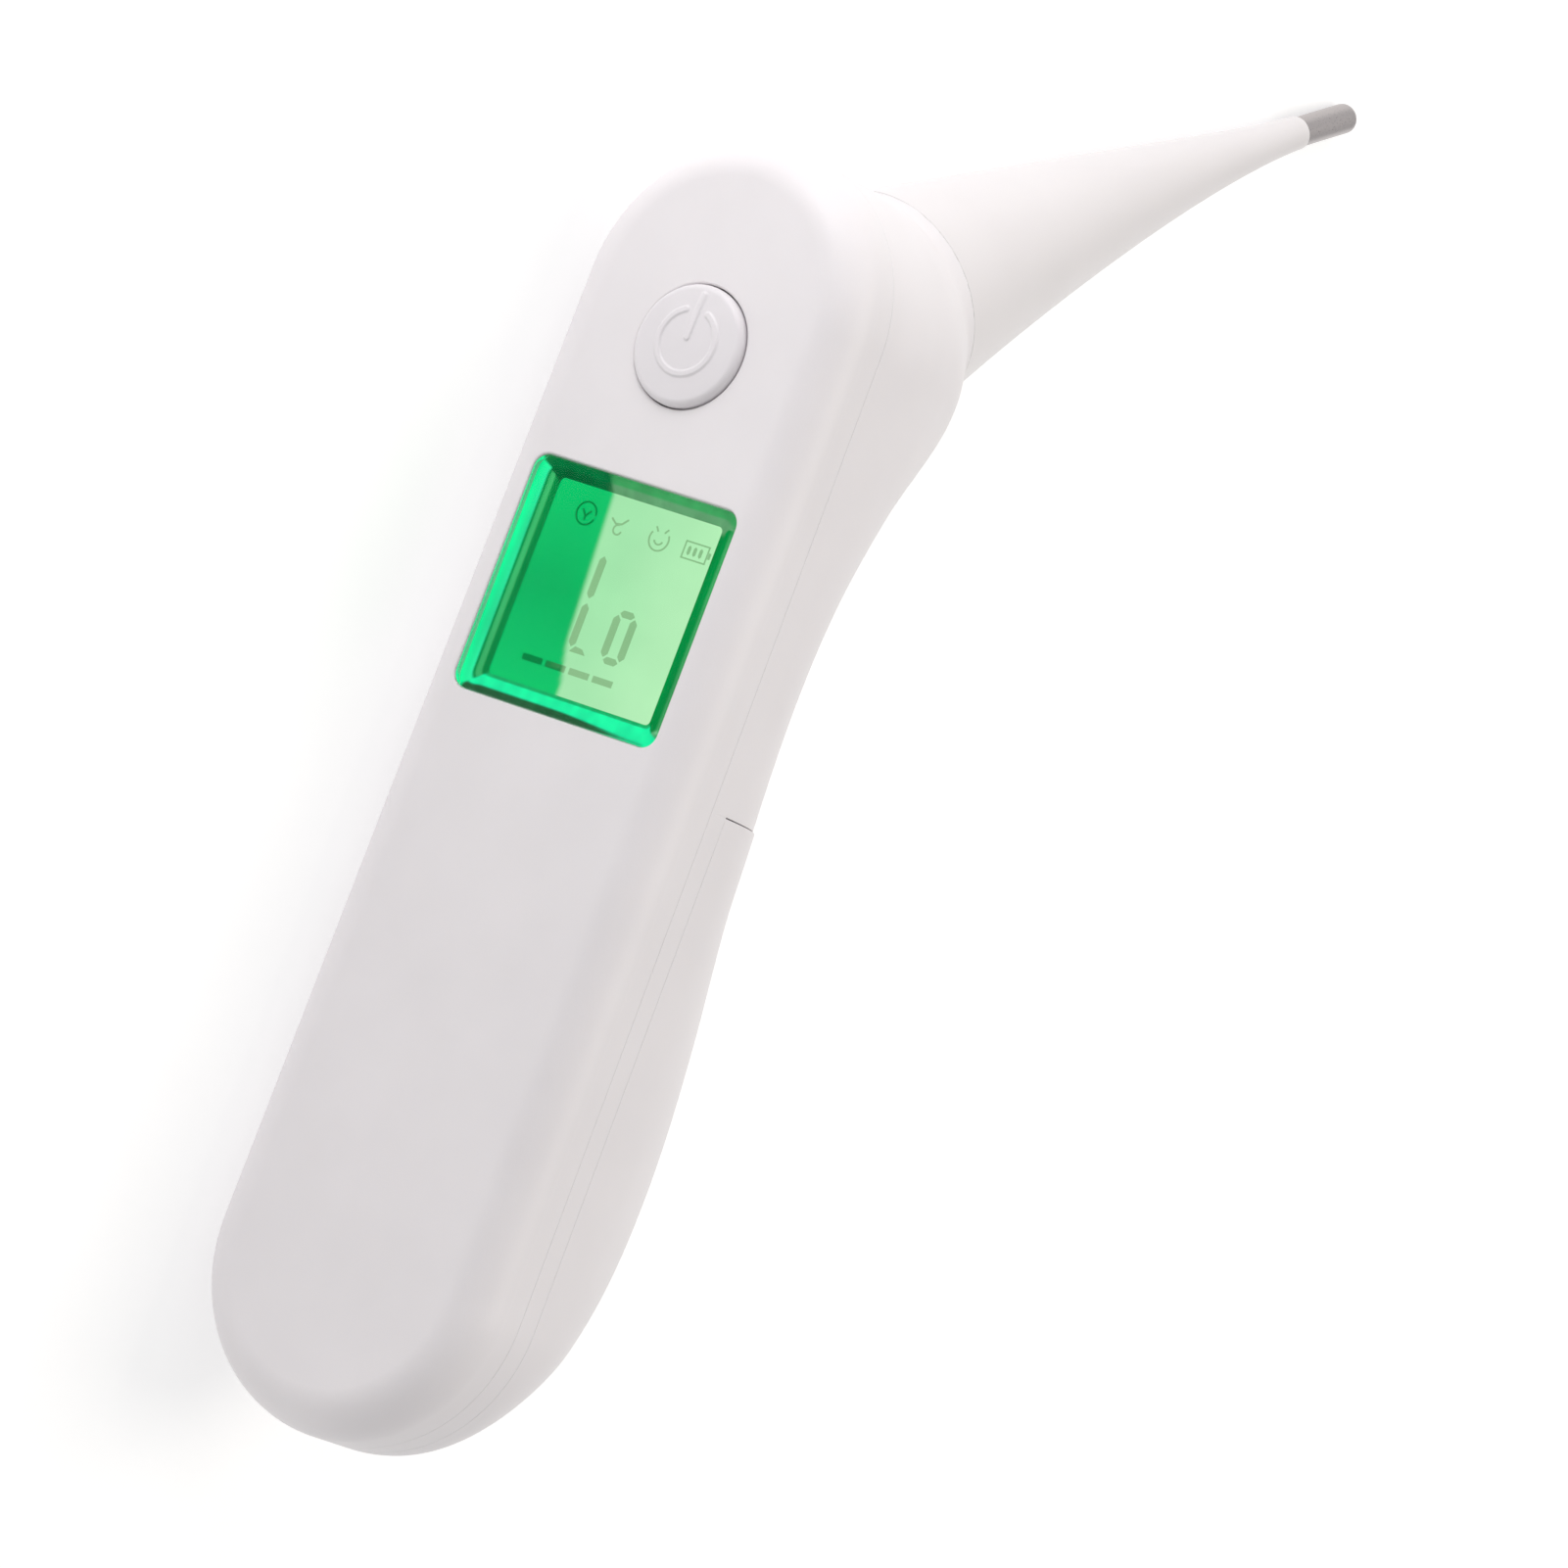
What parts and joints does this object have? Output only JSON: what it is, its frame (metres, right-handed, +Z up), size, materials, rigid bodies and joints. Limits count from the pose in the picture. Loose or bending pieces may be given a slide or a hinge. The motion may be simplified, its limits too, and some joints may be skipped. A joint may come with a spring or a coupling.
{
  "type": "ear thermometer",
  "caption": "Digital ear thermometer with a rounded handle, a lit square display, a round power button, a sliding battery door and a long tapered probe with a metal tip.",
  "frame": {"origin": "centre of the bounding box, on the surface that the thermometer lies on", "axes": "+X along the handle from its head to its lower end, +Y the way the probe leans away from the front, +Z up from the table"},
  "size_m": [0.1888, 0.1108, 0.04],
  "materials": {
    "casing_white": "satin moulded ABS",
    "button_white": "satin moulded ABS",
    "probe_white": "smooth moulded polypropylene",
    "window_clear": "clear polished acrylic, lit green from behind",
    "lcd_green": "liquid crystal glass with a green backlight",
    "light_box": "moulded light box",
    "light_guide": "frosted light guide",
    "led_package": "moulded lamp package",
    "zebra_rubber": "conductive silicone",
    "board_green": "glass fibre board with solder mask",
    "chip_black": "moulded epoxy",
    "can_metal": "drawn can",
    "tip_steel": "satin stainless steel",
    "screw_steel": "zinc plated",
    "spring_steel": "nickel plated",
    "inner_plastic": "moulded ABS",
    "switch_black": "moulded nylon",
    "plunger_grey": "moulded nylon",
    "seal_silicone": "soft silicone",
    "buzzer_brass": "brass disc",
    "cell_sleeve": "dry cell with a printed sleeve, left plain",
    "lead_red": "PVC insulation",
    "lead_black": "PVC insulation",
    "lead_grey": "PVC insulation",
    "bead_amber": "epoxy bead"
  },
  "bodies": {
    "housing": {"front_shell": "casing_white", "rear_shell": "casing_white", "display_lens": "window_clear", "lcd_frame": "light_box", "lcd_glass": "lcd_green", "backlight_panel": "light_guide", "backlight_led_left": "led_package", "backlight_led_right": "led_package", "zebra_strip_bottom": "zebra_rubber", "zebra_strip_top": "zebra_rubber", "main_board": "board_green", "controller_chip": "chip_black", "memory_chip": "chip_black", "crystal_can": "can_metal", "capacitor": "can_metal", "buzzer": "buzzer_brass", "board_screw_left": "screw_steel", "board_screw_right": "screw_steel", "switch_body": "switch_black", "battery_tray": "inner_plastic", "case_screw_1": "screw_steel", "case_screw_2": "screw_steel", "case_screw_3": "screw_steel", "battery_left": "cell_sleeve", "battery_right": "cell_sleeve", "battery_spring_left": "spring_steel", "battery_spring_right": "spring_steel", "contact_bridge": "spring_steel", "contact_plate_left": "spring_steel", "contact_plate_right": "spring_steel", "probe_cone": "probe_white", "probe_tip_cap": "tip_steel", "lead_sleeve": "lead_grey", "thermistor_bead": "bead_amber", "probe_clamp_ring": "inner_plastic", "probe_seal": "seal_silicone", "lead_grommet": "seal_silicone", "sensor_lead": "lead_grey", "lead_positive": "lead_red", "lead_negative": "lead_black"},
    "battery_door": {"battery_door": "casing_white"},
    "power_button": {"power_button": "button_white"},
    "switch_plunger": {"switch_plunger": "plunger_grey"}
  },
  "joints": [
    {"name": "battery_door_slide", "type": "slide", "parent": "housing", "child": "battery_door", "axis": [1, 0, 0], "range_m": [0, 0.056]},
    {"name": "power_button_press", "type": "slide", "parent": "housing", "child": "power_button", "axis": [0, 0.9826, -0.1859], "range_m": [0, 0.0005], "stiffness_N_per_m": 3000},
    {"name": "switch_plunger_press", "type": "slide", "parent": "housing", "child": "switch_plunger", "axis": [0, 0.9826, -0.1859], "range_m": [0, 0.0005]}
  ],
  "couplings": [
    {"joint": "switch_plunger_press", "follows": "power_button_press", "ratio": 1}
  ]
}
